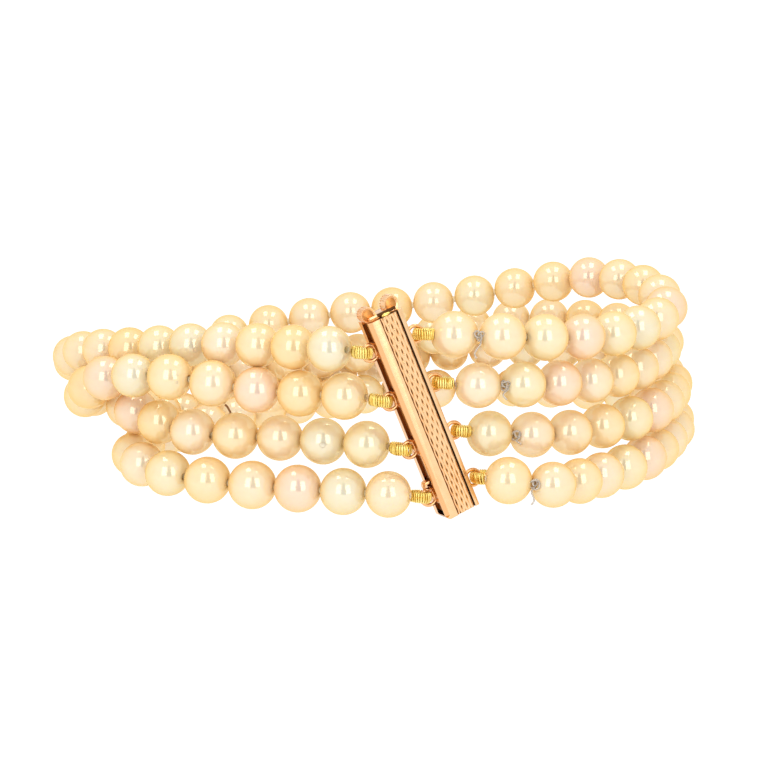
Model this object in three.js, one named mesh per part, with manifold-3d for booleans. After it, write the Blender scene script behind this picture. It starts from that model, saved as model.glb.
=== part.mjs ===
// A bracelet of four strands of round pearls on a slide-lock tube clasp, standing on its edge.
// Millimetres, +Z up, the clasp at the front (-Y).
import * as THREE from "three";
import Module from "manifold-3d";

const wasm = await Module();
wasm.setup();

// Pearls
const pearlDiameter = 5.1;
const pearlSizeStep = 0.1; // between one letter of the size charts and the next
const pearlGap = 0.06;
const drillHole = 0.9; // the drilled mouth, where one pearl meets the next
const pearlSides = 10;

// Clasp case
const caseLength = 23.6;
const caseWidth = 4.1;
const caseDepth = 3.2;
const caseWall = 0.55;
const caseEnd = 0.45; // the closed lower end
const caseBevel = 0.3;
const caseCorner = 0.7; // rounds the lower left corner of the front
const borderWidth = 1.3; // the polished strip left of the engraved band
const bandWidth = 1.9;
const grooveWidth = 0.25;
const grooveDepth = 0.25;
const lineWidth = 0.12;
const lineDepth = 0.12;
const slideGap = 0.3;

// Jump rings
const ringWire = 0.42;
const ringHole = 1.35;
const ringPitch = 5.82;
const leftRingDrop = 0.2; // each row of rings sits this far below the middle of the case
const rightRingDrop = 0.5;
const leftRingReach = 0.55; // ring centre past the mouth of the slot
const rightRingReach = 0.85; // ring centre past the right wall, which its outer edge enters
const ringSteps = 12;
const wireSides = 6;

// Thumb cap of the slide
const capRise = 0.4;
const capHeight = 0.5;
const capDepth = 1.5;
const lobeRadius = 0.85;
const lobeDepth = 1.4;
const leafHeight = 1.9;
const leafWidth = 1.6;

// Gimp: fine coil over the thread, a flattened loop through each ring
const gimpHeight = 1.0;
const gimpThickness = 0.5;
const gimpRingGap = 0.12;
const gimpPearlGap = 0.18;
const gimpEndRadius = 0.36;
const gimpReach = 2.4; // from a ring's centre to the surface of its end pearl, which the loop spans

// How the clasp stands: leant in its own plane, turned to show its slot, and tipped back, in degrees
const claspCentre = new THREE.Vector3(3.71, -30.88, 11.78);
const claspRoll = 21;
const claspTurn = 22;
const claspTip = 5;

// Each strand's first and last pearls lie off their rings: the way there, and the reach as a share of gimpReach.
// Its route keeps a few chosen points between them, from the left of the clasp round the back to its right.
// The letters chart the pearls' sizes.
const strands = [
  {
    name: "strand_1",
    sizes: "bbbbbbbbbbbbbcccdeeeeddccccccccccddd",
    fromLeftRing: [-4.5, 1.95, 0.05],
    leftReach: 0.98,
    toRightRing: [4.3, 1.65, -0.4],
    rightReach: 0.833,
    route: [
      [-19.4, -19.2, 17.3],
      [-30.8, -9.6, 14.9],
      [-37, -1.8, 13],
      [-39.1, 7.4, 10],
      [-34.6, 16.1, 8.4],
      [-25.5, 20.5, 9.7],
      [-13, 20.8, 12.6],
      [5.8, 19.4, 15.3],
      [16.1, 18, 17.4],
      [25, 13.4, 19.5],
      [30.8, 5, 19.9],
      [32.4, -5.1, 18.9],
      [28.2, -14.4, 18.3],
      [21.3, -22, 18.7],
      [12.3, -27, 19.7],
    ],
  },
  {
    name: "strand_2",
    sizes: "dddddccccccccccccccccccccccbbbbccccc",
    fromLeftRing: [-4.9, 1.6, 0.25],
    leftReach: 1.083,
    toRightRing: [4.8, 0.9, -0.55],
    rightReach: 0.979,
    route: [
      [-15.3, -24.7, 13.3],
      [-24.9, -21.2, 14],
      [-32.8, -14.8, 12.5],
      [-36.2, -6, 8.5],
      [-34, 3.9, 7.2],
      [-27.3, 11.6, 7.9],
      [-18.3, 16.6, 7.65],
      [-4.1, 22.7, 8],
      [10.7, 25.5, 11.1],
      [20.7, 23.4, 12.5],
      [28.8, 17.4, 13],
      [33, 8, 13.2],
      [32.2, -2.1, 13.3],
      [28.5, -11.5, 13],
      [22.5, -19.8, 13.3],
      [14.6, -26.2, 14.2],
    ],
  },
  {
    name: "strand_3",
    sizes: "dddddcccccccccccccccccccccccccdddccc",
    fromLeftRing: [-4.65, 2, 0.1],
    leftReach: 1.042,
    toRightRing: [4, 2, -0.85],
    rightReach: 0.834,
    route: [
      [-12.7, -24.1, 7.7],
      [-22.5, -21, 7.7],
      [-29.5, -13.6, 8.4],
      [-31, -3.8, 6.95],
      [-28.2, 5.6, 3.9],
      [-22.8, 14.2, 2.6],
      [-11, 24, 3.7],
      [3.4, 28.7, 6.5],
      [18.6, 27.3, 7.75],
      [27.3, 21.8, 8.1],
      [33, 13.3, 8.1],
      [34.3, 3.2, 7.8],
      [29.8, -11.5, 7.8],
      [19.6, -22.2, 7.8],
    ],
  },
  {
    name: "strand_4",
    sizes: "cdefedccccccccccccccccccccccccdddccd",
    fromLeftRing: [-4.4, -1.3, 0.65],
    leftReach: 0.875,
    toRightRing: [3.8, -3.15, 0.45],
    rightReach: 0.979,
    route: [
      [-15.4, -26.4, 2.9],
      [-25.2, -22.1, 3.2],
      [-29.8, -13, 3.2],
      [-25.2, 1.5, 2.6],
      [-15.2, 13.3, 2.6],
      [-2.7, 22.2, 2.7],
      [12.1, 26.5, 2.6],
      [26.9, 22.9, 2.9],
      [33.5, 15.1, 3.2],
      [35, 5.1, 2.9],
      [32.6, -4.9, 2.55],
      [29, -13.8, 2.7],
      [23.7, -21.6, 2.8],
      [18, -29.6, 3.75],
    ],
  },
];

const pearlMaterial = () => new THREE.MeshStandardMaterial({ color: 0xf4e3b8, roughness: 0.25 });
const goldMaterial = () => new THREE.MeshStandardMaterial({ color: 0xe8b88a, metalness: 1, roughness: 0.25 });
const gimpMaterial = () => new THREE.MeshStandardMaterial({ color: 0xe6c660, metalness: 1, roughness: 0.4 });

const degrees = THREE.MathUtils.degToRad;
const up = new THREE.Vector3(0, 0, 1);

// Clasp space: x across to the right, y back from the front face, z up the length; the origin is the middle
// of the front face.
const claspPose = new THREE.Matrix4()
  .makeTranslation(claspCentre.x, claspCentre.y, claspCentre.z)
  .multiply(new THREE.Matrix4().makeRotationZ(degrees(claspTurn)))
  .multiply(new THREE.Matrix4().makeRotationX(degrees(-claspTip)))
  .multiply(new THREE.Matrix4().makeRotationY(degrees(-claspRoll)));

const ringRadius = (ringHole + ringWire) / 2;
const ringX = {
  left: -caseWidth / 2 - leftRingReach,
  right: caseWidth / 2 + rightRingReach,
};
const ringDrop = { left: leftRingDrop, right: rightRingDrop };
const ringZ = (side, row) => (1.5 - row) * ringPitch - ringDrop[side];
const ringCentre = (side, row) =>
  new THREE.Vector3(ringX[side], caseDepth / 2, ringZ(side, row)).applyMatrix4(claspPose);

// A closed skin through rings of points, each ring an array of vectors; open ends are capped flat.
function skin(rings, closed) {
  const sides = rings[0].length;
  const positions = rings.flat().flatMap((p) => [p.x, p.y, p.z]);
  const index = [];
  const spans = closed ? rings.length : rings.length - 1;
  for (let i = 0; i < spans; i++) {
    const a = i * sides;
    const b = ((i + 1) % rings.length) * sides;
    for (let k = 0; k < sides; k++) {
      const n = (k + 1) % sides;
      index.push(a + k, b + n, b + k, a + k, a + n, b + n);
    }
  }
  if (!closed) {
    const last = (rings.length - 1) * sides;
    for (let k = 1; k < sides - 1; k++) {
      index.push(0, k + 1, k, last, last + k, last + k + 1);
    }
  }
  const geometry = new THREE.BufferGeometry();
  geometry.setAttribute("position", new THREE.Float32BufferAttribute(positions, 3));
  geometry.setIndex(index);
  return geometry;
}

// A ring of points about a centre, square to a direction, with one point straight up.
function hoop(centre, direction, radius, sides) {
  const u = up.clone().addScaledVector(direction, -up.dot(direction)).normalize();
  const v = new THREE.Vector3().crossVectors(direction, u);
  return Array.from({ length: sides }, (_, k) => {
    const angle = (2 * Math.PI * k) / sides;
    return centre
      .clone()
      .addScaledVector(u, radius * Math.cos(angle))
      .addScaledVector(v, radius * Math.sin(angle));
  });
}

// A smooth line through a strand's points, as close samples with their distance along it.
function routeLine(points) {
  const first = points[0].clone().multiplyScalar(2).sub(points[1]);
  const last = points.at(-1).clone().multiplyScalar(2).sub(points.at(-2));
  const all = [first, ...points, last];
  const line = [];
  for (let i = 1; i < all.length - 2; i++) {
    const [a, b, c, d] = all.slice(i - 1, i + 3);
    for (let k = 0; k < 40; k++) {
      const t = k / 40;
      const at = (key) =>
        0.5 *
        (2 * b[key] +
          (c[key] - a[key]) * t +
          (2 * a[key] - 5 * b[key] + 4 * c[key] - d[key]) * t * t +
          (3 * b[key] - a[key] - 3 * c[key] + d[key]) * t * t * t);
      line.push(new THREE.Vector3(at("x"), at("y"), at("z")));
    }
  }
  line.push(points.at(-1).clone());
  const distance = [0];
  for (let i = 1; i < line.length; i++) {
    distance.push(distance[i - 1] + line[i].distanceTo(line[i - 1]));
  }
  return { line, distance, length: distance.at(-1) };
}

function pointAlong(route, s) {
  let i = 1;
  while (i < route.line.length - 1 && route.distance[i] < s) i++;
  const share = (s - route.distance[i - 1]) / (route.distance[i] - route.distance[i - 1]);
  return route.line[i - 1].clone().lerp(route.line[i], THREE.MathUtils.clamp(share, 0, 1));
}

// Where an end pearl's centre lies, off its ring
function endPearl(side, row, way, distance) {
  return ringCentre(side, row).addScaledVector(new THREE.Vector3(...way).normalize(), distance);
}

// The pearls of a strand: centres and radii. As many fit as the route is long.
function pearlsOf(strand, row) {
  const radius = (i) => {
    const letter = strand.sizes.charCodeAt(i % strand.sizes.length) - "c".charCodeAt(0);
    return (pearlDiameter + letter * pearlSizeStep) / 2;
  };
  const start = endPearl("left", row, strand.fromLeftRing, strand.leftReach * gimpReach + radius(0));
  const lastRadius = radius(strand.sizes.length - 1);
  const end = endPearl("right", row, strand.toRightRing, strand.rightReach * gimpReach + lastRadius);
  const middle = strand.route.map((p) => new THREE.Vector3(...p));
  const route = routeLine([start, ...middle, end]);
  const count = Math.round(route.length / (pearlDiameter + pearlGap)) + 1;
  const steps = [0];
  for (let i = 1; i < count; i++) {
    steps.push(steps[i - 1] + radius(i - 1) + radius(i));
  }
  const stretch = route.length / steps.at(-1);
  return steps.map((s, i) => ({ centre: pointAlong(route, s * stretch), radius: radius(i) }));
}

// One strand, fused: each pearl is a round bead that meets the next at its drilled mouth.
function strandGeometry(pearls) {
  const rings = [];
  const slope = Math.SQRT1_2;
  const mouth = drillHole / 2;
  pearls.forEach(({ centre, radius }, i) => {
    const before = pearls[Math.max(i - 1, 0)];
    const after = pearls[Math.min(i + 1, pearls.length - 1)];
    const axis = after.centre.clone().sub(before.centre).normalize();
    const pole = Math.sqrt(radius * radius - mouth * mouth);
    if (i === 0) {
      rings.push(hoop(centre.clone().addScaledVector(axis, -pole), axis, mouth, pearlSides));
    } else {
      const link = centre.clone().sub(before.centre).normalize();
      const share = before.radius / (before.radius + radius);
      rings.push(hoop(before.centre.clone().lerp(centre, share), link, mouth, pearlSides));
    }
    rings.push(hoop(centre.clone().addScaledVector(axis, -radius * slope), axis, radius * slope, pearlSides));
    rings.push(hoop(centre, axis, radius, pearlSides));
    rings.push(hoop(centre.clone().addScaledVector(axis, radius * slope), axis, radius * slope, pearlSides));
    if (i === pearls.length - 1) {
      rings.push(hoop(centre.clone().addScaledVector(axis, pole), axis, mouth, pearlSides));
    }
  });
  return skin(rings, false);
}

// A flattened loop of gimp round the near wire of a jump ring, drawn in to the pearl's drilled mouth.
function gimpGeometry(side, row, pearl) {
  const centre = ringCentre(side, row);
  const ringAxis = new THREE.Vector3(0, 1, 0).transformDirection(claspPose);
  const reach = pearl.centre.clone().sub(centre);
  const outward = reach.clone().addScaledVector(ringAxis, -reach.dot(ringAxis)).normalize();
  const height = new THREE.Vector3().crossVectors(outward, ringAxis).normalize();
  const bigRadius = ringWire / 2 + gimpThickness / 2 + gimpRingGap;
  const wire = centre.clone().addScaledVector(outward, ringRadius);
  const shortfall = pearl.radius + gimpPearlGap + gimpThickness / 2 + gimpEndRadius;
  const mouth = pearl.centre.clone().addScaledVector(reach.clone().normalize(), -shortfall);
  const along = mouth.clone().sub(wire);
  const span = along.length();
  along.normalize();
  const across = new THREE.Vector3().crossVectors(height, along);
  const lean = Math.asin((bigRadius - gimpEndRadius) / span);
  const stations = [];
  for (let k = 0; k <= 8; k++) {
    stations.push([0, bigRadius, Math.PI / 2 - lean + (k / 8) * (Math.PI + 2 * lean)]);
  }
  for (let k = 0; k <= 4; k++) {
    stations.push([span, gimpEndRadius, -Math.PI / 2 + lean + (k / 4) * (Math.PI - 2 * lean)]);
  }
  const rings = stations.map(([at, radius, angle]) => {
    const out = along.clone().multiplyScalar(Math.cos(angle)).addScaledVector(across, Math.sin(angle));
    const middle = wire.clone().addScaledVector(along, at).addScaledVector(out, radius);
    return Array.from({ length: wireSides }, (_, n) => {
      const turn = (2 * Math.PI * n) / wireSides;
      return middle
        .clone()
        .addScaledVector(height, (gimpHeight / 2) * Math.cos(turn))
        .addScaledVector(out, (gimpThickness / 2) * Math.sin(turn));
    });
  });
  return skin(rings, true);
}

// Conversions between a three.js geometry and a solid that can be added to and cut.
function solidOf(geometry) {
  const flat = geometry.index ? geometry.toNonIndexed() : geometry;
  const source = flat.getAttribute("position").array;
  const seen = new Map();
  const vertices = [];
  const triangles = [];
  for (let i = 0; i < source.length; i += 3) {
    const key = [0, 1, 2].map((k) => Math.round(source[i + k] * 1e5)).join();
    if (!seen.has(key)) {
      seen.set(key, vertices.length / 3);
      vertices.push(source[i], source[i + 1], source[i + 2]);
    }
    triangles.push(seen.get(key));
  }
  const kept = [];
  for (let i = 0; i < triangles.length; i += 3) {
    const [a, b, c] = triangles.slice(i, i + 3);
    if (a !== b && b !== c && a !== c) kept.push(a, b, c);
  }
  const mesh = new wasm.Mesh({
    numProp: 3,
    vertProperties: new Float32Array(vertices),
    triVerts: new Uint32Array(kept),
  });
  return new wasm.Manifold(mesh);
}

function geometryOf(solid) {
  const mesh = solid.getMesh();
  const geometry = new THREE.BufferGeometry();
  geometry.setAttribute("position", new THREE.BufferAttribute(mesh.vertProperties, 3));
  geometry.setIndex(new THREE.BufferAttribute(mesh.triVerts, 1));
  return geometry;
}

function boxSolid(x, y, z) {
  const box = new THREE.BoxGeometry(x[1] - x[0], y[1] - y[0], z[1] - z[0]);
  box.translate((x[0] + x[1]) / 2, (y[0] + y[1]) / 2, (z[0] + z[1]) / 2);
  return solidOf(box);
}

function jumpRing(side, row) {
  const torus = new THREE.TorusGeometry(ringRadius, ringWire / 2, wireSides, ringSteps);
  torus.rotateX(Math.PI / 2);
  torus.translate(ringX[side], caseDepth / 2, ringZ(side, row));
  return solidOf(torus);
}

// Case: a bevelled tube, open at the top and down the left side
function caseSolid() {
  const w = caseWidth / 2;
  const b = caseBevel;
  const half = caseLength / 2;
  const section = new THREE.Shape();
  section.moveTo(-w + b, 0);
  section.lineTo(w - b, 0);
  section.lineTo(w, b);
  section.lineTo(w, caseDepth - b);
  section.lineTo(w - b, caseDepth);
  section.lineTo(-w + b, caseDepth);
  section.lineTo(-w, caseDepth - b);
  section.lineTo(-w, b);
  const tube = new THREE.ExtrudeGeometry(section, { depth: caseLength, bevelEnabled: false });
  tube.translate(0, 0, -half);
  const front = new THREE.Shape();
  front.moveTo(w, -half);
  front.lineTo(w, half);
  front.lineTo(-w, half);
  front.lineTo(-w, -half + caseCorner);
  front.absarc(-w + caseCorner, -half + caseCorner, caseCorner, Math.PI, 1.5 * Math.PI, false);
  const outline = new THREE.ExtrudeGeometry(front, { depth: caseDepth, bevelEnabled: false, curveSegments: 4 });
  outline.rotateX(Math.PI / 2);
  outline.translate(0, caseDepth, 0);
  const hollow = boxSolid([-w - 1, w - caseWall], [caseWall, caseDepth - caseWall], [-half + caseEnd, half + 1]);
  const lineX = -w + borderWidth;
  const grooveX = lineX + lineWidth + bandWidth;
  const line = boxSolid([lineX, lineX + lineWidth], [-1, lineDepth], [-half - 1, half + 1]);
  const groove = boxSolid([grooveX, grooveX + grooveWidth], [-1, grooveDepth], [-half - 1, half + 1]);
  let solid = solidOf(tube).intersect(solidOf(outline)).subtract(hollow).subtract(line).subtract(groove);
  for (let row = 0; row < strands.length; row++) {
    solid = solid.add(jumpRing("right", row).subtract(hollow));
  }
  return solid;
}

// Slide: a bar in the case that carries the left rings and ends in a thumb cap with two milled lobes
function slideSolid() {
  const w = caseWidth / 2;
  const half = caseLength / 2;
  const barX = [-w + slideGap, w - caseWall - slideGap];
  const barY = [caseWall + slideGap, caseDepth - caseWall - slideGap];
  const capZ = half + capRise;
  let solid = boxSolid(barX, barY, [-half + caseEnd + slideGap, capZ + capHeight / 2]);
  const capY = [caseDepth / 2 - capDepth / 2, caseDepth / 2 + capDepth / 2];
  solid = solid.add(boxSolid([-w + slideGap / 2, w / 2], capY, [capZ, capZ + capHeight]));
  const lobe = new THREE.SphereGeometry(1, 10, 6);
  const round = lobe.clone().scale(lobeRadius, lobeDepth / 2, lobeRadius);
  round.translate(-w + slideGap / 2, caseDepth / 2, capZ + capHeight / 2 + slideGap);
  const leaf = lobe.clone().scale(leafWidth / 2, lobeDepth / 2, leafHeight / 2);
  leaf.translate(w / 2 - slideGap, caseDepth / 2, capZ + capHeight / 2 + slideGap);
  const below = boxSolid([-caseWidth, caseWidth], [-caseDepth, 2 * caseDepth], [half - caseDepth, half + slideGap]);
  solid = solid.add(solidOf(round).subtract(below)).add(solidOf(leaf).subtract(below));
  for (let row = 0; row < strands.length; row++) {
    solid = solid.add(jumpRing("left", row));
  }
  return solid;
}

function meshOf(name, geometry, material) {
  const mesh = new THREE.Mesh(geometry, material);
  mesh.name = name;
  return mesh;
}

const bracelet = new THREE.Group();
bracelet.name = "pearl_bracelet";
bracelet.add(meshOf("clasp_case", geometryOf(caseSolid()).applyMatrix4(claspPose), goldMaterial()));
bracelet.add(meshOf("clasp_slide", geometryOf(slideSolid()).applyMatrix4(claspPose), goldMaterial()));
strands.forEach((strand, row) => {
  const pearls = pearlsOf(strand, row);
  bracelet.add(meshOf(strand.name, strandGeometry(pearls), pearlMaterial()));
  bracelet.add(meshOf("gimp_left_" + (row + 1), gimpGeometry("left", row, pearls[0]), gimpMaterial()));
  bracelet.add(meshOf("gimp_right_" + (row + 1), gimpGeometry("right", row, pearls.at(-1)), gimpMaterial()));
});

// The bracelet stands centred on the origin, its lowest pearls on z = 0
const bounds = new THREE.Box3().setFromObject(bracelet, true);
bracelet.position.set(
  -(bounds.min.x + bounds.max.x) / 2,
  -(bounds.min.y + bounds.max.y) / 2,
  -bounds.min.z,
);

export default bracelet;
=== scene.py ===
# A bracelet of four strands of round pearls on a slide-lock tube clasp, standing on its edge in a white light
# box. Each piece is modelled in millimetres and set down in the frame, in metres, when it is finished.
import math

import bpy
from mathutils import Matrix, Vector


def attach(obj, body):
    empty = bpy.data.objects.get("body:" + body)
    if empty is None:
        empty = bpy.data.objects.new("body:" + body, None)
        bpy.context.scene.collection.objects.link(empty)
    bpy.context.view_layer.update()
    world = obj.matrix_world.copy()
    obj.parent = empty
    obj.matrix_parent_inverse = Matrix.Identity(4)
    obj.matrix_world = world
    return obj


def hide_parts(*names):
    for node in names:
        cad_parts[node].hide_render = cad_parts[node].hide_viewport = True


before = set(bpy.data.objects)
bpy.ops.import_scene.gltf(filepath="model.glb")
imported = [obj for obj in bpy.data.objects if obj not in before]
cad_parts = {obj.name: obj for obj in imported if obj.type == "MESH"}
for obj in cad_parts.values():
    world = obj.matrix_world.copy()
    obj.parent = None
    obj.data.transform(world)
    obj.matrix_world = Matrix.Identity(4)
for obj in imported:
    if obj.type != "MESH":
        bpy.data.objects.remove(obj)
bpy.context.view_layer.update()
MM = 0.001

# Where the clasp stands
# The tube clasp leans in its own plane, turns to show its slot and tips back. Clasp space has x across to the
# right, y back from the front face and z up the length, from the middle of the front face.
loop_origin = Vector((2.0393, 1.097, 0.0013))
clasp_centre = loop_origin + Vector((3.71, -30.88, 11.78))
clasp_roll, clasp_turn, clasp_tip = 21, 22, 5
clasp_pose = (
    Matrix.Translation(clasp_centre)
    @ Matrix.Rotation(math.radians(clasp_turn), 4, "Z")
    @ Matrix.Rotation(math.radians(-clasp_tip), 4, "X")
    @ Matrix.Rotation(math.radians(-clasp_roll), 4, "Y")
)
case_length, case_width, case_depth, case_wall, case_end = 23.6, 4.1, 3.2, 0.55, 0.45
ring_wire, ring_hole, ring_pitch = 0.42, 1.35, 5.82
ring_radius = (ring_hole + ring_wire) / 2
ring_x = {"left": -case_width / 2 - 0.55, "right": case_width / 2 + 0.85}
ring_drop = {"left": 0.2, "right": 0.5}


def ring_place(side, row):
    """The middle of a jump ring, in clasp space."""
    return Vector((ring_x[side], case_depth / 2, (1.5 - row) * ring_pitch - ring_drop[side]))


# Strands of pearls
# Cultured pearls about 5 mm across, drilled through and strung so close that they touch. Each strand is
# charted from the left of the clasp, round the back, to its right: a letter for each pearl's size and tint,
# the way from the ring and the share of the gimp's reach at each end, and the few points that its line keeps.
pearl_diameter, pearl_size_step = 5.1, 0.1
gimp_reach = 2.4
strands = [
    {
        "sizes": "bbbbbbbbbbbbbcccdeeeeddccccccccccddd",
        "tints": "sgypsngcccypcgcnyccgcnyyrcycrcsnrncc",
        "from_left": (-4.5, 1.95, 0.05, 0.98),
        "to_right": (4.3, 1.65, -0.4, 0.833),
        "route": [
            (-19.4, -19.2, 17.3),
            (-30.8, -9.6, 14.9),
            (-37, -1.8, 13),
            (-39.1, 7.4, 10),
            (-34.6, 16.1, 8.4),
            (-25.5, 20.5, 9.7),
            (-13, 20.8, 12.6),
            (5.8, 19.4, 15.3),
            (16.1, 18, 17.4),
            (25, 13.4, 19.5),
            (30.8, 5, 19.9),
            (32.4, -5.1, 18.9),
            (28.2, -14.4, 18.3),
            (21.3, -22, 18.7),
            (12.3, -27, 19.7),
        ],
    },
    {
        "sizes": "dddddccccccccccccccccccccccbbbbccccc",
        "tints": "ygrcysrgycngcypgcycnyccgyrcynpcyprnp",
        "from_left": (-4.9, 1.6, 0.25, 1.083),
        "to_right": (4.8, 0.9, -0.55, 0.979),
        "route": [
            (-15.3, -24.7, 13.3),
            (-24.9, -21.2, 14),
            (-32.8, -14.8, 12.5),
            (-36.2, -6, 8.5),
            (-34, 3.9, 7.2),
            (-27.3, 11.6, 7.9),
            (-18.3, 16.6, 7.65),
            (-4.1, 22.7, 8),
            (10.7, 25.5, 11.1),
            (20.7, 23.4, 12.5),
            (28.8, 17.4, 13),
            (33, 8, 13.2),
            (32.2, -2.1, 13.3),
            (28.5, -11.5, 13),
            (22.5, -19.8, 13.3),
            (14.6, -26.2, 14.2),
        ],
    },
    {
        "sizes": "dddddcccccccccccccccccccccccccdddccc",
        "tints": "nscypgrcygcyncgycpygcnycyrcgycrnycpn",
        "from_left": (-4.65, 2, 0.1, 1.042),
        "to_right": (4, 2, -0.85, 0.834),
        "route": [
            (-12.7, -24.1, 7.7),
            (-22.5, -21, 7.7),
            (-29.5, -13.6, 8.4),
            (-31, -3.8, 6.95),
            (-28.2, 5.6, 3.9),
            (-22.8, 14.2, 2.6),
            (-11, 24, 3.7),
            (3.4, 28.7, 6.5),
            (18.6, 27.3, 7.75),
            (27.3, 21.8, 8.1),
            (33, 13.3, 8.1),
            (34.3, 3.2, 7.8),
            (29.8, -11.5, 7.8),
            (19.6, -22.2, 7.8),
        ],
    },
    {
        "sizes": "cdefedccccccccccccccccccccccccdddccd",
        "tints": "csrcynpygcyccgcynpcgycyncgycpyrnpycy",
        "from_left": (-4.4, -1.3, 0.65, 0.875),
        "to_right": (3.8, -3.15, 0.45, 0.979),
        "route": [
            (-15.4, -26.4, 2.9),
            (-25.2, -22.1, 3.2),
            (-29.8, -13, 3.2),
            (-25.2, 1.5, 2.6),
            (-15.2, 13.3, 2.6),
            (-2.7, 22.2, 2.7),
            (12.1, 26.5, 2.6),
            (26.9, 22.9, 2.9),
            (33.5, 15.1, 3.2),
            (35, 5.1, 2.9),
            (32.6, -4.9, 2.55),
            (29, -13.8, 2.7),
            (23.7, -21.6, 2.8),
            (18, -29.6, 3.75),
        ],
    },
]
tints = {
    "c": (0.87, 0.82, 0.82),  # cream
    "y": (0.88, 0.81, 0.73),  # yellow cream
    "g": (0.88, 0.77, 0.62),  # golden
    "n": (0.84, 0.84, 0.81),  # greenish cream
    "p": (0.88, 0.84, 0.9),  # pale
    "r": (0.87, 0.76, 0.86),  # rose
    "s": (0.8, 0.84, 0.9),  # silver green
}


def smooth_line(points, samples=40):
    """A smooth line through chosen points, as close samples."""
    ends = [2 * points[0] - points[1], *points, 2 * points[-1] - points[-2]]
    line = []
    for a, b, c, d in zip(ends, ends[1:], ends[2:], ends[3:]):
        for k in range(samples):
            t = k / samples
            line.append(
                0.5
                * (2 * b + (c - a) * t + (2 * a - 5 * b + 4 * c - d) * t**2 + (3 * b - a - 3 * c + d) * t**3)
            )
    return line + [points[-1]]


def spaced(line, distances):
    """The points of a line at these distances along it."""
    found, travelled, i = [], 0, 1
    step = (line[1] - line[0]).length
    for wanted in distances:
        while travelled + step < wanted and i < len(line) - 1:
            travelled += step
            i += 1
            step = (line[i] - line[i - 1]).length
        share = min(max((wanted - travelled) / step, 0), 1)
        found.append(line[i - 1].lerp(line[i], share))
    return found


def length_of(line):
    return sum((b - a).length for a, b in zip(line, line[1:]))


def pearls_of(strand, row):
    """Each pearl's centre in millimetres, its radius, and the way that the strand runs through it."""
    radii = [(pearl_diameter + (ord(letter) - ord("c")) * pearl_size_step) / 2 for letter in strand["sizes"]]
    ends = []
    for side, key, radius in (("left", "from_left", radii[0]), ("right", "to_right", radii[-1])):
        *way, share = strand[key]
        ring = clasp_pose @ ring_place(side, row)
        ends.append(ring + Vector(way).normalized() * (share * gimp_reach + radius))
    line = smooth_line([ends[0], *(Vector(p) + loop_origin for p in strand["route"]), ends[1]])
    steps = [0]
    for a, b in zip(radii, radii[1:]):
        steps.append(steps[-1] + a + b)
    stretch = length_of(line) / steps[-1]
    centres = spaced(line, [s * stretch for s in steps])
    ways = [
        (centres[min(i + 1, len(centres) - 1)] - centres[max(i - 1, 0)]).normalized()
        for i in range(len(centres))
    ]
    return list(zip(centres, radii, ways))


def pick(piece, kind, test):
    """Edit mode on a piece, with only the vertices, edges or faces that pass the test selected."""
    bpy.ops.object.mode_set(mode="OBJECT")
    mesh = piece.data
    for group in (mesh.vertices, mesh.edges, mesh.polygons):
        group.foreach_set("select", [False] * len(group))
    group = {"VERT": mesh.vertices, "EDGE": mesh.edges, "FACE": mesh.polygons}[kind]
    group.foreach_set("select", [bool(test(item)) for item in group])
    bpy.context.tool_settings.mesh_select_mode = (kind == "VERT", kind == "EDGE", kind == "FACE")
    bpy.ops.object.mode_set(mode="EDIT")


def edge_ends(piece, edge):
    return [piece.data.vertices[i].co for i in edge.vertices]


def added(name):
    """The object that an operator has just added, under its own name."""
    piece = bpy.context.object
    piece.name = piece.data.name = name
    return piece


def done(angle=40):
    """Leaves edit mode, with faces shaded smooth except at sharp edges."""
    if bpy.context.object.mode == "EDIT":
        bpy.ops.object.mode_set(mode="OBJECT")
    bpy.ops.object.shade_smooth_by_angle(angle=math.radians(angle))


def copied(piece, place, scale=1.0):
    """A copy of a piece with its own mesh, placed by a matrix."""
    copy = piece.copy()
    copy.data = piece.data.copy()
    copy.data.transform(place @ Matrix.Scale(scale, 4))
    bpy.context.scene.collection.objects.link(copy)
    return copy


def joined(pieces, name):
    bpy.ops.object.select_all(action="DESELECT")
    for piece in pieces:
        piece.select_set(True)
    bpy.context.view_layer.objects.active = pieces[0]
    if len(pieces) > 1:
        bpy.ops.object.join()
    pieces[0].name = pieces[0].data.name = name
    return pieces[0]


def settle(piece, pose=Matrix.Identity(4)):
    """A finished piece goes from millimetres to its place in the frame and rides with the bracelet."""
    piece.data.transform(Matrix.Scale(MM, 4) @ pose)
    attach(piece, "root")
    return piece


class Signal:
    """A socket of a material's nodes. Arithmetic on it adds Math nodes, and node() adds any other node."""

    def __init__(self, tree, socket):
        self.tree = tree
        self.socket = socket

    def node(self, kind, settings=None, sockets=None, output=0):
        made = self.tree.nodes.new(kind)
        for name, value in (settings or {}).items():
            setattr(made, name, value)
        for name, value in (sockets or {}).items():
            if isinstance(value, Signal):
                self.tree.links.new(value.socket, made.inputs[name])
            else:
                made.inputs[name].default_value = value
        return Signal(self.tree, made.outputs[output])

    def maths(self, operation, *values):
        return self.node("ShaderNodeMath", {"operation": operation}, dict(enumerate(values)))

    def __add__(self, other):
        return self.maths("ADD", self, other)

    def __mul__(self, other):
        return self.maths("MULTIPLY", self, other)

    def __lt__(self, other):
        return self.maths("LESS_THAN", self, other)

    def __gt__(self, other):
        return self.maths("GREATER_THAN", self, other)

    __radd__ = __add__
    __rmul__ = __mul__

    def mixed(self, low, high):
        """A colour between two colours, by this signal."""
        settings = {"data_type": "RGBA", "blend_type": "MIX"}
        return self.node("ShaderNodeMix", settings, {"Factor": self, "A": low, "B": high}, "Result")


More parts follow.
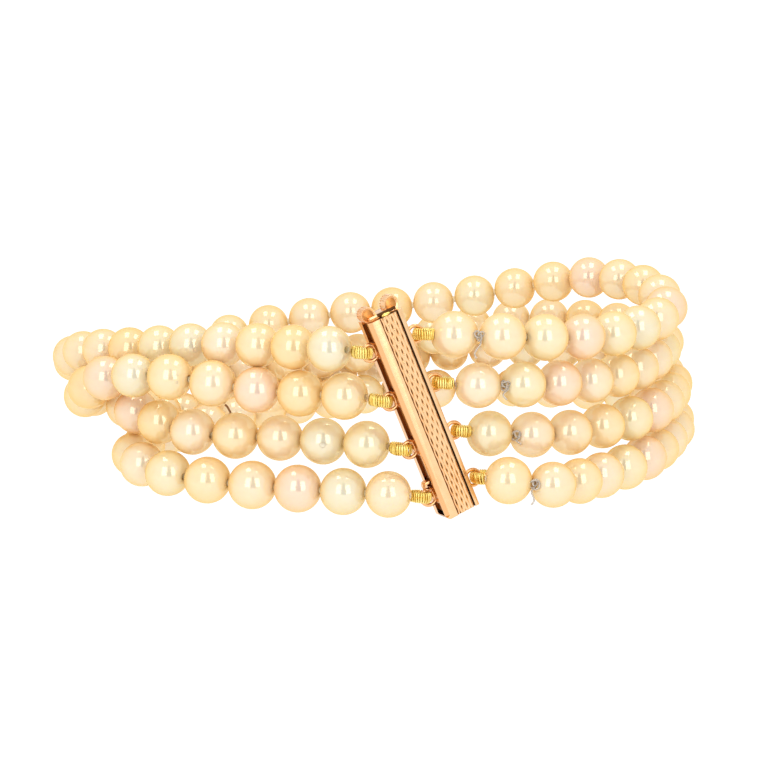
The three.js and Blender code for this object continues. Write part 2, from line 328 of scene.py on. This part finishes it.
def finish_of(name, **sockets):
    """A new material with its Principled shader's fixed values, and its object coordinates in millimetres."""
    material = bpy.data.materials.new(name)
    material.use_nodes = True
    shader = material.node_tree.nodes["Principled BSDF"]
    for socket, value in sockets.items():
        shader.inputs[socket.replace("_", " ")].default_value = value
    start = Signal(material.node_tree, shader.outputs[0])
    place = start.node("ShaderNodeTexCoord", output="Object")
    place = place.node("ShaderNodeVectorMath", {"operation": "SCALE"}, {0: place, "Scale": 1 / MM})
    return material, shader, place


def feed(signal, shader, socket):
    signal.tree.links.new(signal.socket, shader.inputs[socket])


def bump(height, shader, strength, distance):
    """Fine relief: height in units of distance, a length in metres."""
    sockets = {"Strength": strength, "Distance": distance, "Height": height}
    raised = height.node("ShaderNodeBump", None, sockets)
    feed(raised, shader, "Normal")


nacre, shader, place = finish_of(
    "nacre",
    Roughness=0.08,
    IOR=2.8,
    Coat_Weight=1.0,
    Coat_Roughness=0.04,
    Coat_IOR=1.05,
    Coat_Tint=(1.0, 0.88, 0.64, 1.0),
    Sheen_Weight=0.5,
    Sheen_Roughness=0.3,
    Sheen_Tint=(1.0, 0.75, 0.4, 1.0),
    Subsurface_Weight=0.15,
    Subsurface_Scale=0.002,
    Subsurface_Radius=(1.0, 0.75, 0.4),
)
tint = place.node("ShaderNodeAttribute", {"attribute_name": "tint"}, output="Color")
on_pearl = place.node("ShaderNodeAttribute", {"attribute_name": "on_pearl"}, output="Vector")
cloud = on_pearl.node("ShaderNodeTexNoise", None, {"Vector": on_pearl, "Scale": 1.6, "Detail": 3.0})
veil = cloud.node("ShaderNodeMapRange", None, {"Value": cloud, "From Min": 0.35, "From Max": 0.7})
multiply = {"data_type": "RGBA", "blend_type": "MULTIPLY"}
soft = veil.node("ShaderNodeMix", multiply, {"Factor": veil, "A": tint, "B": (1, 0.96, 0.88, 1)}, "Result")
feed(soft, shader, "Base Color")
ripple = on_pearl.node("ShaderNodeTexNoise", None, {"Vector": on_pearl, "Scale": 5.0, "Detail": 2.0})
bump(ripple, shader, 0.12, 0.00004)

pearl_rings = 20
bpy.ops.object.select_all(action="DESELECT")
bpy.ops.mesh.primitive_uv_sphere_add(segments=40, ring_count=pearl_rings, radius=1)
pearl = added("pearl")
pick(pearl, "VERT", lambda v: abs(v.co.z) > 0.999)
bpy.ops.mesh.delete(type="VERT")
mouth_height = math.cos(math.pi / pearl_rings)
pick(pearl, "EDGE", lambda e: min(abs(p.z) for p in edge_ends(pearl, e)) > mouth_height - 1e-4)
bpy.ops.mesh.bridge_edge_loops()
pick(pearl, "EDGE", lambda e: edge_ends(pearl, e)[0].z * edge_ends(pearl, e)[1].z > mouth_height**2 - 1e-3)
mouth_bevel = 0.03
bpy.ops.mesh.bevel(offset=mouth_bevel, segments=2)
done(50)
fit = pearl.data.attributes.new("on_pearl", "FLOAT_VECTOR", "POINT")
fit.data.foreach_set("vector", [c for v in pearl.data.vertices for c in v.co])
pearl.data.materials.append(nacre)

pearl_spin, flatness = 2.4, 0.012
strung = []
for row, strand in enumerate(strands):
    beads = []
    pearls = pearls_of(strand, row)
    strung.append(pearls)
    for i, (centre, radius, way) in enumerate(pearls):
        turn = Matrix.Rotation(pearl_spin * i + row, 4, "Z")
        roundness = Matrix.Diagonal((1, 1 - flatness * (i % 3), 0.985 + 0.005 * (i % 4), 1))
        place_of = Matrix.Translation(centre) @ way.to_track_quat("Z", "Y").to_matrix().to_4x4() @ turn
        bead = copied(pearl, place_of @ roundness, radius)
        body = tints[strand["tints"][i]]
        colour = bead.data.attributes.new("tint", "FLOAT_COLOR", "POINT")
        colour.data.foreach_set("color", [*body, 1] * len(bead.data.vertices))
        shift = Vector((i * 1.7, row * 3.1, i * 0.9))
        own = bead.data.attributes["on_pearl"]
        own.data.foreach_set("vector", [c for v in pearl.data.vertices for c in v.co + shift])
        beads.append(bead)
    beads = joined(beads, "pearls_" + str(row + 1))
    settle(beads)
    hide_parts("strand_" + str(row + 1))
bpy.data.objects.remove(pearl)

# Blemishes
# A few pearls carry a growth mark on their front: a shallow ring or a dimple that the light catches.
blemish, shader, place = finish_of("growth_mark", Roughness=0.3, Coat_Weight=0.6)
patches = place.node("ShaderNodeTexNoise", None, {"Vector": place, "Scale": 6.0, "Detail": 2.0})
feed(patches.mixed((0.5, 0.42, 0.3, 1), (0.75, 0.66, 0.5, 1)), shader, "Base Color")
# A row holds the strand, the pearl, how far right and up the mark lies, in radii, and the mark's size.
blemishes = (
    (0, 4, 0.3, -0.25, 0.26),
    (2, 1, 0.0, -0.13, 0.3),
    (2, 1, 0.14, -0.1, 0.12),
    (1, 4, 0.42, 0.1, 0.1),
    (1, 4, 0.38, -0.25, 0.14),
    (0, 33, 0.35, -0.35, 0.12),
)
mark_wire, mark_height = 0.035, 0.982
marks = []
for row, i, right, up, size in blemishes:
    centre, radius, way = strung[row][i]
    out = Vector((right, -math.sqrt(1 - right**2 - up**2), up + 0.2)).normalized()
    bpy.ops.object.select_all(action="DESELECT")
    bpy.ops.mesh.primitive_torus_add(
        major_segments=20, minor_segments=6, major_radius=size, minor_radius=mark_wire
    )
    mark = added("growth_mark")
    turn = out.to_track_quat("Z", "Y").to_matrix().to_4x4()
    mark.data.transform(Matrix.Translation(centre + out * (radius * mark_height)) @ turn)
    done(60)
    marks.append(mark)
marks = joined(marks, "growth_marks")
marks.data.materials.append(blemish)
settle(marks)

# Thread
# Silk thread runs through all the pearls of a strand, and shows only as a fleck of cream between two mouths.


def tube(name, points, radius, sides=8):
    """A round wire along points, as a closed mesh. It has an even number of sides, four or more."""
    curve = bpy.data.curves.new(name, "CURVE")
    curve.dimensions = "3D"
    curve.bevel_depth = radius
    curve.bevel_resolution = (sides - 4) // 2
    curve.use_fill_caps = True
    line = curve.splines.new("POLY")
    line.points.add(len(points) - 1)
    line.points.foreach_set("co", [c for p in points for c in (*p, 1)])
    piece = bpy.data.objects.new(name, curve)
    bpy.context.scene.collection.objects.link(piece)
    joined([piece], name)
    bpy.ops.object.convert(target="MESH")
    pick(piece, "VERT", lambda v: True)
    bpy.ops.mesh.remove_doubles(threshold=radius / 100)
    bpy.ops.mesh.normals_make_consistent(inside=False)
    done(60)
    return piece


silk, shader, place = finish_of("silk", Roughness=0.7)
strands_of_silk = place.node("ShaderNodeTexNoise", None, {"Vector": place, "Scale": 9.0, "Detail": 2.0})
feed(strands_of_silk.mixed((0.86, 0.72, 0.44, 1), (0.95, 0.86, 0.64, 1)), shader, "Base Color")

thread_radius = 0.39
for row, pearls in enumerate(strung):
    thread = tube("thread_" + str(row + 1), [centre for centre, radius, way in pearls], thread_radius)
    thread.data.materials.append(silk)
    settle(thread)

# Gimp
# Gimp is fine gold wire coiled like a spring and slipped over the thread. Each end of a strand has a loop of
# it, which passes through a jump ring and closes at the mouth of the end pearl.
gimp_height, gimp_thickness, gimp_wire, gimp_core = 1.36, 0.68, 0.19, 0.5
gimp_turn, gimp_least_span = 0.23, 0.7
gimp_end_radius, gimp_ring_gap, gimp_pearl_gap = 0.38, 0.36, 0.18

gimp_gold, shader, place = finish_of("gimp_gold", Metallic=1.0, Roughness=0.27)
wear = place.node("ShaderNodeTexNoise", None, {"Vector": place, "Scale": 1.4, "Detail": 3.0})
wear = wear.node("ShaderNodeMapRange", None, {"Value": wear, "From Min": 0.35, "From Max": 0.65})
feed(wear.mixed((1.0, 0.84, 0.3, 1), (0.97, 0.66, 0.14, 1)), shader, "Base Color")
feed(wear * 0.15 + 0.2, shader, "Roughness")


def gimp_outline(side, row, pearl):
    """The line that a loop's coil follows, as points with the ways out of the loop and up across it."""
    centre = clasp_pose @ ring_place(side, row)
    ring_axis = (clasp_pose.to_3x3() @ Vector((0, 1, 0))).normalized()
    pearl_centre, pearl_radius, way = pearl
    reach = pearl_centre - centre
    outward = (reach - ring_axis * reach.dot(ring_axis)).normalized()
    height = outward.cross(ring_axis).normalized()
    big_radius = ring_wire / 2 + gimp_core / 2 + gimp_ring_gap
    wire = centre + outward * ring_radius
    shortfall = pearl_radius + gimp_pearl_gap + gimp_core / 2 + gimp_end_radius
    along = pearl_centre - reach.normalized() * shortfall - wire
    span = max(along.length, gimp_least_span)
    along.normalize()
    across = height.cross(along)
    lean = math.asin((big_radius - gimp_end_radius) / span)
    quarter = math.pi / 2 - lean
    arcs = (
        (span, gimp_end_radius, 0, quarter, 6),
        (0, big_radius, quarter, math.pi + 2 * lean, 24),
        (span, gimp_end_radius, -quarter, quarter, 6),
    )
    outline = []
    for at, radius, start, sweep, steps in arcs:
        for k in range(steps + 1):
            angle = start + k / steps * sweep
            out = along * math.cos(angle) + across * math.sin(angle)
            outline.append((wire + along * at + out * radius, out))
    return outline, height


def coil(side, row, pearl):
    """One fine wire wound round the outline of a loop."""
    outline, height = gimp_outline(side, row, pearl)
    line = [point for point, out in outline]
    outs = [out for point, out in outline]
    steps = 12
    count = round(length_of(line) / gimp_turn) * steps
    distances = [k / count * length_of(line) for k in range(count + 1)]
    lengths = [0]
    for a, b in zip(line, line[1:]):
        lengths.append(lengths[-1] + (b - a).length)
    points = []
    for k, (distance, point) in enumerate(zip(distances, spaced(line, distances))):
        i = max(j for j, passed in enumerate(lengths) if passed <= distance + 1e-9)
        i = min(i, len(outs) - 2)
        share = (distance - lengths[i]) / max(lengths[i + 1] - lengths[i], 1e-9)
        out = outs[i].lerp(outs[i + 1], share).normalized()
        turn = 2 * math.pi * k / steps
        points.append(
            point
            + height * ((gimp_height - gimp_wire) / 2 * math.cos(turn))
            + out * ((gimp_thickness - gimp_wire) / 2 * math.sin(turn))
        )
    return tube("coil", points, gimp_wire / 2, 6)


for row in range(4):
    for side, pearl in (("left", strung[row][0]), ("right", strung[row][-1])):
        gimp = coil(side, row, pearl)
        gimp.name = gimp.data.name = "gimp_coil_" + side + "_" + str(row + 1)
        gimp.data.materials.append(gimp_gold)
        settle(gimp)
        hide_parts("gimp_" + side + "_" + str(row + 1))

# Clasp case
# The case is a folded rose-gold tube, open at the top and down its left side. Its front has a polished strip,
# a rolled band of six ridges that sway against each other on a floor darkened with painted shade, and a deep
# groove before the right border.
case_bevel, case_corner, case_chamfer, case_rail = 0.3, 0.45, 0.42, 0.85
strip_width, band_width, groove_width = 1.3, 2.02, 0.25
band_left = -case_width / 2 + strip_width
band_right = band_left + band_width
groove_depth, band_depth, ridge_height, band_sheet = 0.36, 0.22, 0.19, 0.1
ridge_pitch = 0.332
ridges = ((0.035, 0.13), (0.04, 0.195), (0.06, 0.195), (0.06, 0.195), (0.04, 0.195), (0.035, 0.195))
dot_pitch, first_dot = 1.49, 1.39
half_length = case_length / 2
solder_out = 0.02
left_solder, right_solder, cap_solder = (0.4, 0.8, 1.3), (0.45, 0.7, 1.1), (1.1, 0.4, 0.42)

rose_gold, shader, place = finish_of("rose_gold", Metallic=1.0)
on_clasp = place.node("ShaderNodeAttribute", {"attribute_name": "on_clasp"}, output="Vector")
across = on_clasp.node("ShaderNodeSeparateXYZ", None, {0: on_clasp}, 0)
depth = on_clasp.node("ShaderNodeSeparateXYZ", None, {0: on_clasp}, 1)
along = on_clasp.node("ShaderNodeSeparateXYZ", None, {0: on_clasp}, 2)
in_band = (across > band_left - 0.02) * (across < band_right + groove_width + 0.01) * (depth < case_wall)
sunk = depth.node("ShaderNodeMapRange", None, {"Value": depth, "From Min": 0.08, "From Max": 0.2})
inside = (depth > case_wall - 0.01) * (depth < case_depth - case_rail + 0.01) * (along < half_length - 0.3)
inside = inside * (across < case_width / 2 - case_wall + 0.01) * (across > 0.01 - case_width / 2)
stain = place.node("ShaderNodeTexNoise", None, {"Vector": on_clasp, "Scale": 0.9, "Detail": 4.0})
stain = stain.node("ShaderNodeMapRange", None, {"Value": stain, "From Min": 0.3, "From Max": 0.75})
polished = stain.mixed((0.95, 0.64, 0.36, 1), (0.9, 0.55, 0.27, 1))
# The parts out past the sides of the case (the jump rings, their solder and the tab) and the front-left
# chamfer are painted a deeper orange-brown: painted shade.
outer_painted_shade = (across > case_width / 2 + 0.03) + (across < -0.03 - case_width / 2)
chamfer_painted_shade = (across < case_chamfer - 0.03 - case_width / 2) * (depth > 0.005)
polished = (outer_painted_shade + chamfer_painted_shade).mixed(polished, (0.9, 0.5, 0.23, 1))
# The sunk floor of the band and groove is painted near black, darker where it lies deeper, and made rougher:
# painted shade in the recesses.
sunk_painted_shade = (in_band * sunk).mixed(polished, (0.15, 0.065, 0.022, 1))
# The inside of the tube, behind the front wall and within the side walls, is painted dark brown: painted
# shade in the hollow.
feed(inside.mixed(sunk_painted_shade, (0.2, 0.075, 0.02, 1)), shader, "Base Color")
feed(in_band * sunk * 0.5 + 0.17 + stain * 0.06, shader, "Roughness")
scuffs = place.node("ShaderNodeTexNoise", None, {"Vector": on_clasp, "Scale": 3.0, "Detail": 3.0})
bump(scuffs, shader, 0.1, 0.00004)


def box(name, low, high):
    low, high = Vector(low), Vector(high)
    bpy.ops.object.select_all(action="DESELECT")
    bpy.ops.mesh.primitive_cube_add(size=1)
    piece = added(name)
    piece.data.transform(Matrix.Translation((low + high) / 2) @ Matrix.Diagonal((*(high - low), 1)))
    return piece


def cut(piece, tool):
    """Cuts a piece with another, which is used up."""
    change = piece.modifiers.new("cut", "BOOLEAN")
    change.operation, change.solver, change.object = "DIFFERENCE", "EXACT", tool
    joined([piece], piece.name)
    bpy.ops.object.modifier_apply(modifier=change.name)
    bpy.data.objects.remove(tool)


def eased(piece, offset, segments=1):
    """Small bevels on all sharp edges, as filing and polishing leave them."""
    change = piece.modifiers.new("eased", "BEVEL")
    change.width, change.segments, change.limit_method = offset, segments, "ANGLE"
    change.angle_limit = math.radians(35)
    joined([piece], piece.name)
    bpy.ops.object.modifier_apply(modifier=change.name)


def jump_ring(side, row):
    bpy.ops.object.select_all(action="DESELECT")
    bpy.ops.mesh.primitive_torus_add(
        major_segments=40, minor_segments=12, major_radius=ring_radius, minor_radius=ring_wire / 2
    )
    ring = added("jump_ring")
    ring.data.transform(Matrix.Translation(ring_place(side, row)) @ Matrix.Rotation(math.pi / 2, 4, "X"))
    done(60)
    return ring


def lump(place, size):
    """A bead of solder."""
    bpy.ops.object.select_all(action="DESELECT")
    bpy.ops.mesh.primitive_ico_sphere_add(subdivisions=3, radius=0.5)
    bead = added("solder")
    bead.data.transform(Matrix.Translation(place) @ Matrix.Diagonal((*size, 1)))
    done(60)
    return bead


def charted(piece, *materials):
    """Notes each point's place in clasp space, for the finishes, and takes the piece to its place."""
    chart = piece.data.attributes.new("on_clasp", "FLOAT_VECTOR", "POINT")
    chart.data.foreach_set("vector", [c for v in piece.data.vertices for c in v.co])
    if not piece.data.materials:
        for material in materials:
            piece.data.materials.append(material)
    return settle(piece, clasp_pose)


def upright_edge(piece, edge):
    a, b = edge_ends(piece, edge)
    return abs((a - b).normalized().z) > 0.99


case = box(
    "clasp_case_dressed", (-case_width / 2, 0, -half_length), (case_width / 2, case_depth, half_length)
)
pick(case, "EDGE", lambda e: all(p.x < 0 and p.z < 0 for p in edge_ends(case, e)))
bpy.ops.mesh.bevel(offset=case_corner, segments=7, affect="EDGES")
pick(case, "EDGE", lambda e: upright_edge(case, e) and edge_ends(case, e)[0].x > 0)
bpy.ops.mesh.bevel(offset=case_bevel, segments=3, affect="EDGES")
pick(case, "EDGE", lambda e: upright_edge(case, e) and all(p.x < 0 and p.y < 0.1 for p in edge_ends(case, e)))
bpy.ops.mesh.bevel(offset=case_chamfer, segments=1, affect="EDGES")
bpy.ops.object.mode_set(mode="OBJECT")
past = case_length
cuts = {
    "hollow": (
        (-case_width, case_wall, case_end - half_length),
        (case_width / 2 - case_wall, case_depth - case_rail, past),
    ),
    "band_bed": ((band_left, -1, -past), (band_right, band_depth, past)),
    "groove": ((band_right + 0.02, -1, -past), (band_right + groove_width, groove_depth, past)),
}
for name, (low, high) in cuts.items():
    cut(case, box(name, low, high))
eased(case, 0.035)
done(30)


def ridge_rise(x, z):
    """How high the rolled pattern stands, from 0 on its floor to 1 on the crest of a ridge."""
    rise = 0
    swing = -math.cos(2 * math.pi * (z + half_length - first_dot) / dot_pitch)
    for i, (sway, half_width) in enumerate(ridges):
        crest = band_left + 0.06 + ridge_pitch * (i + 0.5) + sway * swing * (-1) ** i
        off = abs(x - crest) / half_width
        if off < 1:
            rise = max(rise, math.sqrt(1 - off * off))
    return rise


bpy.ops.object.select_all(action="DESELECT")
bpy.ops.mesh.primitive_grid_add(x_subdivisions=54, y_subdivisions=190, size=1)
band = added("rolled_band")
band_size = (band_right - band_left - 0.02, case_length - 0.06)
for point in band.data.vertices:
    x = point.co.x * band_size[0] + (band_left + band_right) / 2
    z = point.co.y * band_size[1]
    point.co = (x, band_depth - 0.02 - ridge_height * ridge_rise(x, z), z)
shell = band.modifiers.new("sheet", "SOLIDIFY")
shell.thickness, shell.offset = band_sheet, -1
joined([band], "rolled_band")
bpy.ops.object.modifier_apply(modifier="sheet")
pick(band, "FACE", lambda f: True)
bpy.ops.mesh.normals_make_consistent(inside=False)
done(50)

pieces = [case, band]
for row in range(4):
    pieces.append(jump_ring("right", row))
    spot = ring_place("right", row)
    pieces.append(lump((case_width / 2 + solder_out, spot.y, spot.z), right_solder))
case = joined(pieces, "clasp_case_dressed")
charted(case, rose_gold)
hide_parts("clasp_case")

# Clasp slide
# The bar slides down inside the case and closes it. The left rings are soldered to blocks that fill the slot,
# a little tab springs out between the lowest two, and the thumb cap on top has a milled lobe at each end.
slide_gap, cap_rise, cap_height = 0.3, 0.25, 0.35
lobe_radius, lobe_depth, lobe_teeth, flute_depth = 0.85, 1.3, 22, 0.07
lobe_rim, dish_width, dish_depth, boss_width, boss_rise = 0.13, 0.1, 0.1, 0.2, 0.06
block_half_height = 0.95

# The bar and the blocks in the slot are painted a dark orange-brown with random stain: painted shade of the
# narrow slot.
slide_gold_painted_shade, shader, place = finish_of("slide_gold_painted_shade", Metallic=1.0)
on_clasp = place.node("ShaderNodeAttribute", {"attribute_name": "on_clasp"}, output="Vector")
stain = place.node("ShaderNodeTexNoise", None, {"Vector": on_clasp, "Scale": 1.3, "Detail": 4.0})
stain = stain.node("ShaderNodeMapRange", None, {"Value": stain, "From Min": 0.35, "From Max": 0.7})
feed(stain.mixed((0.72, 0.33, 0.1, 1), (0.5, 0.2, 0.05, 1)), shader, "Base Color")
feed(stain * 0.2 + 0.25, shader, "Roughness")

slide_left, slide_right = slide_gap - case_width / 2, case_width / 2 - case_wall - slide_gap
bar_depths = (case_wall + slide_gap, case_depth - case_wall - slide_gap)
cap_base = half_length + cap_rise
bar = box(
    "bar",
    (slide_left, bar_depths[0], case_end + slide_gap - half_length),
    (slide_right, bar_depths[1], cap_base),
)
eased(bar, 0.08, 2)
done(30)
dark_pieces = [bar]
for row in range(4):
    spot = ring_place("left", row)
    block = box(
        "block",
        (0.02 - case_width / 2, case_wall + 0.12, spot.z - block_half_height),
        (slide_left + 0.1, case_depth - case_rail - 0.02, spot.z + block_half_height),
    )
    eased(block, 0.1, 2)
    done(30)
    dark_pieces.append(block)
dark = joined(dark_pieces, "slide_bar")
dark.data.materials.append(slide_gold_painted_shade)

pale_pieces = []
for row in range(4):
    spot = ring_place("left", row)
    pale_pieces.append(jump_ring("left", row))
    pale_pieces.append(lump((-case_width / 2 - solder_out, spot.y, spot.z), left_solder))
cap = box(
    "cap",
    (-case_width / 2 + 0.3, 0.3, cap_base - 0.08),
    (case_width / 2 - 0.5, case_depth - 0.8, cap_base + cap_height - 0.1),
)
eased(cap, 0.12, 3)
done(30)
pale_pieces.append(cap)


def lobe(place, lean, stretch):
    """A milled lobe: a short drum on its side, with flutes round its rim and a dished face."""
    bpy.ops.object.select_all(action="DESELECT")
    bpy.ops.mesh.primitive_cylinder_add(vertices=2 * lobe_teeth, radius=lobe_radius, depth=lobe_depth)
    drum = added("lobe")
    pick(drum, "FACE", lambda f: abs(f.normal.z) < 0.1 and f.index % 2 == 0)
    bpy.ops.mesh.extrude_faces_move(TRANSFORM_OT_shrink_fatten={"value": -flute_depth})
    pick(drum, "FACE", lambda f: abs(f.normal.z) > 0.9 and len(f.vertices) > 8)
    bpy.ops.mesh.inset(thickness=lobe_rim)
    bpy.ops.mesh.inset(thickness=dish_width, depth=-dish_depth)
    bpy.ops.mesh.inset(thickness=boss_width, depth=boss_rise)
    bpy.ops.object.mode_set(mode="OBJECT")
    eased(drum, 0.02)
    done(30)
    drum.data.materials.append(rose_gold)
    drum.data.materials.append(slide_gold_painted_shade)
    # The dished faces take the dark slide finish: painted shade in the dish.
    for face in drum.data.polygons:
        from_axis = face.center.xy.length
        dished = from_axis < lobe_radius - 0.28 and abs(face.center.z) > 0.3
        face.material_index = int(dished)
    turn = Matrix.Rotation(math.radians(lean), 4, "Y") @ Matrix.Rotation(math.pi / 2, 4, "X")
    drum.data.transform(Matrix.Translation(place) @ turn @ Matrix.Diagonal((1, stretch, 1, 1)))
    return drum


lobe_height = half_length + cap_rise + 0.45
pale_pieces.append(lobe((-1.45, case_depth / 2, lobe_height), 0, 1.0))
pale_pieces.append(lobe((1.4, case_depth / 2, lobe_height), 28, 1.2))

tab_height, tab_sheet, tab_depths = -7.35, 0.28, (0.85, 1.95)
tab = box(
    "tab",
    (-case_width / 2 - 0.55, tab_depths[0], tab_height),
    (-case_width / 2 + 0.4, tab_depths[1], tab_height + tab_sheet),
)
pick(tab, "FACE", lambda f: f.normal.x < -0.9)
bpy.ops.mesh.extrude_region_move(TRANSFORM_OT_translate={"value": (-0.25, 0, -0.3)})
bpy.ops.mesh.extrude_region_move(TRANSFORM_OT_translate={"value": (0.05, 0, -0.35)})
bpy.ops.object.mode_set(mode="OBJECT")
eased(tab, 0.06, 2)
done(30)
pale_pieces.append(tab)
for piece in pale_pieces:
    if not piece.data.materials:
        piece.data.materials.append(rose_gold)
pale = joined(pale_pieces, "slide_rings")
solder = lump((0.2, 0.3, half_length + 0.1), cap_solder)
solder.data.materials.append(gimp_gold)
slide = joined([pale, dark, solder], "clasp_slide_dressed")
charted(slide)
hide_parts("clasp_slide")

# Knots
# Behind the last pearl on the right of each strand the clear thread is tied off in a small knot, which lies
# in the notch before the next pearl, with its tail left a little long. A stub of brown thread shows on the
# left.
clear, shader, place = finish_of("clear_thread", Roughness=0.25, IOR=1.45, Transmission_Weight=0.5)
cloudy = place.node("ShaderNodeTexNoise", None, {"Vector": place, "Scale": 3.0, "Detail": 3.0})
feed(cloudy.mixed((0.62, 0.53, 0.44, 1), (0.93, 0.89, 0.83, 1)), shader, "Base Color")

knot_size, knot_wire, knot_out, knot_steps = 0.19, 0.1, 1.55, 63
tail_sway, tail_steps = 0.25, 12
tails = ((-0.3, -0.1, -2.3), (-0.15, -0.1, -1.4), (0.1, -0.1, -0.9), (-0.45, -0.1, -2.1))
for row, tail in enumerate(tails):
    first, second = strung[row][-1][0], strung[row][-2][0]
    along_strand = (second - first).normalized()
    front = Vector((0, -1, 0.2))
    front = (front - along_strand * front.dot(along_strand)).normalized()
    spot = (first + second) / 2 + front * knot_out
    points = []
    for k in range(knot_steps + 1):
        t = 2 * math.pi * k / knot_steps
        right = math.sin(t + row) + 2 * math.sin(2 * t)
        up = math.cos(t) - 2.2 * math.cos(2 * t)
        points.append(spot + knot_size * Vector((right, math.sin(3 * t), up)))
    for k in range(1, tail_steps + 1):
        sway = tail_sway * math.sin(2 * math.pi * k / tail_steps + row)
        points.append(points[knot_steps] + Vector(tail) * (k / tail_steps) + Vector((sway, 0, 0)))
    knot = tube("knot_" + str(row + 1), points, knot_wire, 6)
    knot.data.materials.append(clear)
    settle(knot)

brown, shader, place = finish_of("brown_thread", Roughness=0.8)
fibres = place.node("ShaderNodeTexNoise", None, {"Vector": place, "Scale": 12.0, "Detail": 2.0})
feed(fibres.mixed((0.2, 0.09, 0.03, 1), (0.45, 0.24, 0.1, 1)), shader, "Base Color")
stub_places = ((-18.5, -22, 11.0), (-18.2, -22.1, 10.7), (-17.9, -22, 10.1))
stub_line = smooth_line([Vector(p) + loop_origin for p in stub_places], 6)
stub_radius = 0.13
stub = tube("thread_stub", stub_line, stub_radius)
stub.data.materials.append(brown)
settle(stub)

# Light box
# The bracelet stands on a lit white floor inside a white box, under two ceiling panels and behind two tall
# front panels, with a dark slit between them that the camera looks in through.


def panel(name, place, towards, size, brightness):
    """A flat light that faces a point. At brightness 1 it looks as white as the box."""
    light = bpy.data.lights.new(name, "AREA")
    light.shape = "RECTANGLE"
    light.size, light.size_y = size
    light.energy = brightness * math.pi * size[0] * size[1]
    lamp = bpy.data.objects.new(name, light)
    lamp.location = place
    lamp.rotation_euler = (Vector(towards) - Vector(place)).to_track_quat("-Z", "Y").to_euler()
    lamp.visible_camera = False
    bpy.context.scene.collection.objects.link(lamp)


ceiling_place, ceiling_size, ceiling_brightness = (0.055, -0.005, 0.17), (0.05, 0.09), 2.6
front_place, front_size, front_brightness = (0.06, -0.15, 0.07), (0.06, 0.12), 1.7
for side in (-1, 1):
    x, y, z = ceiling_place
    panel("ceiling_panel", (side * x, y, z), (side * x, y, 0), ceiling_size, ceiling_brightness)
    x, y, z = front_place
    panel("front_panel", (side * x, y, z), (side * 0.02, 0, 0.03), front_size, front_brightness)

bpy.ops.mesh.primitive_plane_add(size=6)
floor = added("floor")
white, shader, place = finish_of("lit_floor", Roughness=1.0, Emission_Strength=1.1)
shader.inputs["Base Color"].default_value = (0.0, 0.0, 0.0, 1)
shader.inputs["Emission Color"].default_value = (1, 1, 1, 1)
floor.data.materials.append(white)

bpy.ops.mesh.primitive_plane_add(size=1)
slit = added("slit")
bpy.ops.mesh.primitive_plane_add(size=1)
gap = added("gap")
upright = Matrix.Rotation(math.pi / 2, 4, "X")
for plane, middle, width, height in (
    (slit, (0.004, -0.149, 0.026), 0.05, 0.05),
    (gap, (0.004, -0.151, 0.1), 0.032, 0.17),
):
    plane.data.transform(Matrix.Translation(middle) @ upright @ Matrix.Diagonal((width, height, 1, 1)))
slit = joined([slit, gap], "slit")
black, shader, place = finish_of("slit_black", Roughness=1.0)
shader.inputs["Base Color"].default_value = (0.05, 0.05, 0.05, 1)
slit.data.materials.append(black)
slit.visible_camera = False

world = bpy.data.worlds.new("white_box")
bpy.context.scene.world = world
world.use_nodes = True
world.node_tree.nodes["Background"].inputs["Color"].default_value = (1, 1, 1, 1)
world.node_tree.nodes["Background"].inputs["Strength"].default_value = 0.97
bpy.context.scene.view_settings.view_transform = "Standard"

# Camera
# It looks along +Y from in front of the loop, a little above it.
photo_pixels, focal_pixels, sensor = 782, 2370, 36
camera_from_loop, camera_dip = Vector((0, -280, 68.1)), 12.15
view = bpy.data.cameras.new("camera")
view.sensor_width = sensor
view.lens = sensor * focal_pixels / photo_pixels
view.clip_start = 0.01
camera = bpy.data.objects.new("camera", view)
camera.location = (loop_origin + camera_from_loop) * MM
camera.rotation_euler = (math.radians(90 - camera_dip), 0, 0)
bpy.context.scene.collection.objects.link(camera)
bpy.context.scene.camera = camera
